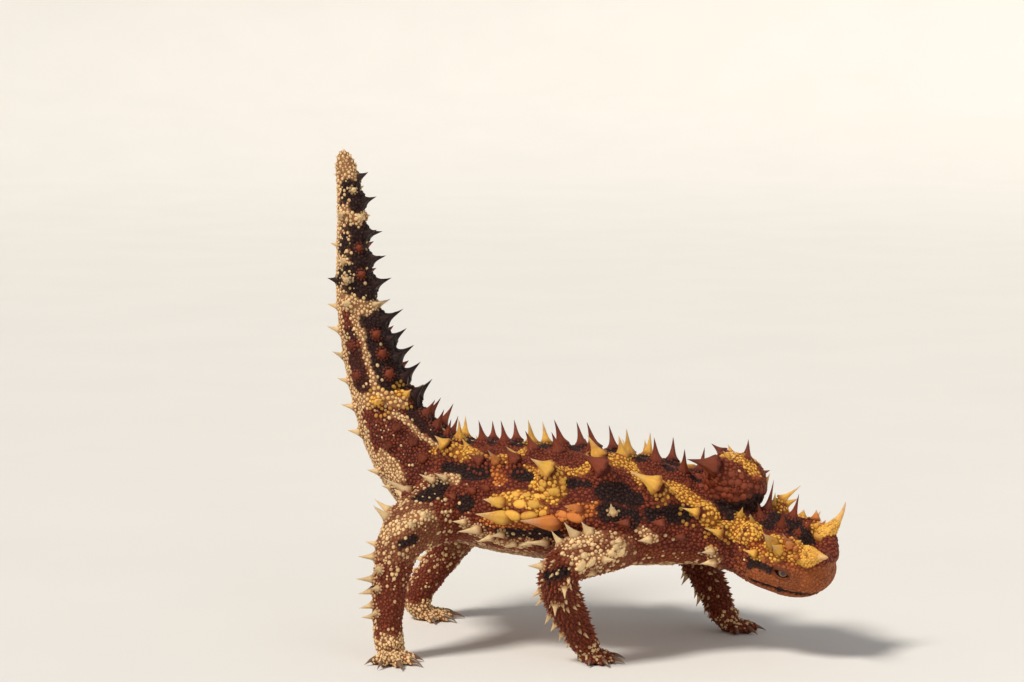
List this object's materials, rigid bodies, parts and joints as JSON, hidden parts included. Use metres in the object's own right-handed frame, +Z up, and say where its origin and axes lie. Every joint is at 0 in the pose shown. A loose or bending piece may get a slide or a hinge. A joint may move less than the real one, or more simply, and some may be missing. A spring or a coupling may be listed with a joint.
{
  "type": "thorny devil",
  "caption": "Life-size still model of a thorny devil lizard, standing with its tail raised straight up, its head lowered and its body covered in conical thorns.",
  "frame": {"origin": "on the ground plane under the soles, at the middle of the model's bounding box seen from above", "axes": "+X the way the animal faces, +Y its left side, +Z up"},
  "size_m": [0.1158, 0.0632, 0.1095],
  "materials": {
    "skin": "granular dry scales, blotched ochre yellow, orange and dark red-brown",
    "leg_skin": "granular dry scales, banded cream and red-brown",
    "horn": "smooth horny sheath, ochre with a paler tip",
    "eye": "wet gloss, near black with a dark brown iris"
  },
  "bodies": {
    "root": {"head": "skin", "lower_jaw": "skin", "neck": "skin", "nape_knob": "skin", "torso": "skin", "tail_base": "skin", "tail_middle": "skin", "tail_upper": "skin", "tail_tip": "skin", "thigh_right": "leg_skin", "thigh_left": "leg_skin", "shin_right": "leg_skin", "shin_left": "leg_skin", "foot_right": "leg_skin", "foot_left": "leg_skin", "upper_arm_right": "leg_skin", "upper_arm_left": "leg_skin", "forearm_right": "leg_skin", "forearm_left": "leg_skin", "hand_right": "leg_skin", "hand_left": "leg_skin", "horn_right": "horn", "horn_left": "horn", "eye_right": "eye", "eye_left": "eye"}
  },
  "joints": []
}
